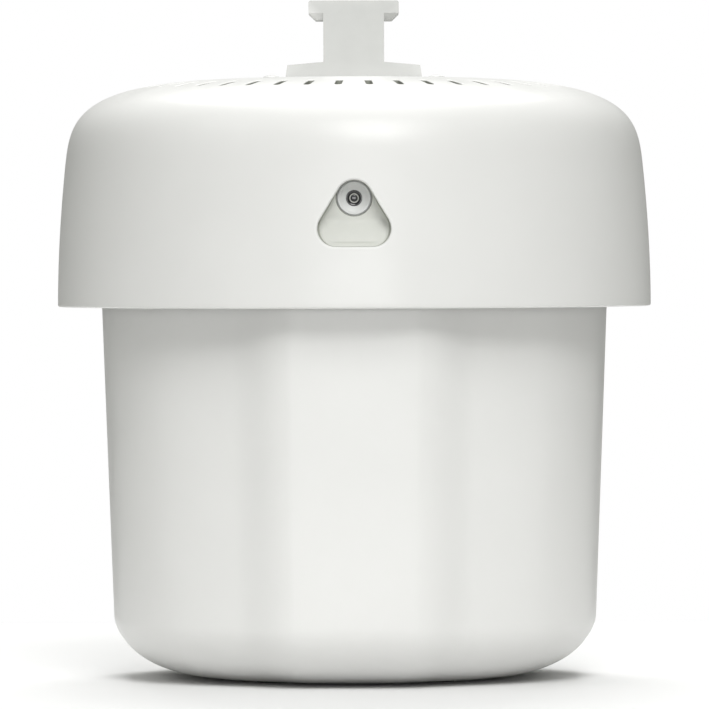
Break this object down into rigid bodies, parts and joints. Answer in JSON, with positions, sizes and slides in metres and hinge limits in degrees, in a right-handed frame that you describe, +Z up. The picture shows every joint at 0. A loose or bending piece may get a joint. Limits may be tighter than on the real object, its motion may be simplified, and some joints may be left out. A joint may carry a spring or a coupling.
{
  "type": "ceiling-hung air purifier",
  "caption": "Drum-shaped air purifier that hangs from a rail by a T-head: vented cover over a cup-shaped lower housing with a cylindrical filter, a centrifugal fan and a round button.",
  "frame": {"origin": "centre of the foot pads' underside, which is the bottom of the whole", "axes": "+Z up along the drum's axis, -Y is the front with the button pocket, +X to the right of the front when the front is looked at"},
  "size_m": [0.23, 0.23, 0.2622],
  "materials": {
    "cover_plastic": "fine satin texture",
    "housing_plastic": "fine satin texture",
    "hanger_plastic": "satin",
    "inner_plastic": "moulded, satin",
    "dark_plastic": "moulded, satin",
    "fan_plastic": "moulded, satin",
    "black_rubber": "matt",
    "steel": "zinc plated",
    "bearing_steel": "polished",
    "magnet": "sintered",
    "laminations": "stacked sheet",
    "bracket_metal": "die cast, dark",
    "copper_wire": "enamelled",
    "filter_paper": "pleated non-woven",
    "carbon_fabric": "carbon-loaded foam",
    "circuit_board": "solder mask",
    "capacitor_sleeve": "shrink sleeve",
    "terminal_green": "moulded",
    "red_insulation": "wire insulation",
    "pale_insulation": "wire insulation",
    "led_lens": "clear epoxy",
    "button_plastic": "satin",
    "indicator_black": "gloss",
    "bezel_metal": "polished",
    "light_window": "smoked, translucent",
    "spring_steel": "drawn wire"
  },
  "bodies": {
    "housing": {"lower_housing": "housing_plastic", "foot_pads": "black_rubber", "inlet_ring": "inner_plastic", "catch_magnets": "magnet", "filter_cradle": "inner_plastic"},
    "filter": {"filter_media": "filter_paper", "filter_top_cap": "inner_plastic", "filter_bottom_cap": "inner_plastic", "filter_core_cage": "dark_plastic", "carbon_sleeve": "carbon_fabric", "filter_gasket": "black_rubber", "filter_pull_bar": "inner_plastic"},
    "upper_unit": {"top_cover": "cover_plastic", "hanger": "hanger_plastic", "hanger_plate": "steel", "hanger_bolts": "steel", "crown_screws": "button_plastic", "gland_body": "dark_plastic", "gland_cap": "dark_plastic", "gland_bush": "black_rubber", "gland_locknut": "dark_plastic", "fan_deck": "inner_plastic", "deck_screws": "steel", "catch_keepers": "steel", "outlet_duct": "inner_plastic", "duct_seal": "black_rubber", "guide_vanes": "inner_plastic", "eye_guard": "inner_plastic", "motor_bracket": "bracket_metal", "bracket_screws": "steel", "bracket_grommets": "black_rubber", "bearing_outer_races": "bearing_steel", "bearing_balls": "bearing_steel", "stator_core": "laminations", "stator_coils": "copper_wire", "control_board": "circuit_board", "board_standoffs": "steel", "board_screws": "steel", "capacitors": "capacitor_sleeve", "terminal_block": "terminal_green", "control_chips": "dark_plastic", "outlet_screen": "dark_plastic", "button_board": "circuit_board", "tact_switches": "dark_plastic", "status_led": "led_lens", "button_board_screws": "steel", "motor_lead": "red_insulation", "button_lead": "pale_insulation", "return_spring": "spring_steel"},
    "fan_rotor": {"impeller": "fan_plastic", "rotor_bell": "steel", "rotor_magnets": "magnet", "motor_shaft": "bearing_steel", "shaft_clip": "spring_steel", "bearing_inner_races": "bearing_steel"},
    "button": {"button_cap": "button_plastic", "indicator_shroud": "indicator_black", "indicator_bezel": "bezel_metal", "light_pipe": "light_window"}
  },
  "joints": [
    {"name": "upper_lift", "type": "slide", "parent": "housing", "child": "upper_unit", "axis": [0, 0, 1], "range_m": [0, 0.25]},
    {"name": "filter_lift", "type": "slide", "parent": "housing", "child": "filter", "axis": [0, 0, 1], "range_m": [0, 0.15]},
    {"name": "fan_spin", "type": "hinge", "parent": "upper_unit", "child": "fan_rotor", "pos_m": [0, 0, 0.18], "axis": [0, 0, 1], "continuous": true},
    {"name": "button_press", "type": "slide", "parent": "upper_unit", "child": "button", "axis": [0, 1, 0], "range_m": [0, 0.0012], "stiffness_N_per_m": 600, "springref_m": -0.003, "deforming": ["return_spring"]}
  ],
  "couplings": [
    {"joint": "filter_lift", "follows": "upper_lift", "ratio": 0.6}
  ]
}
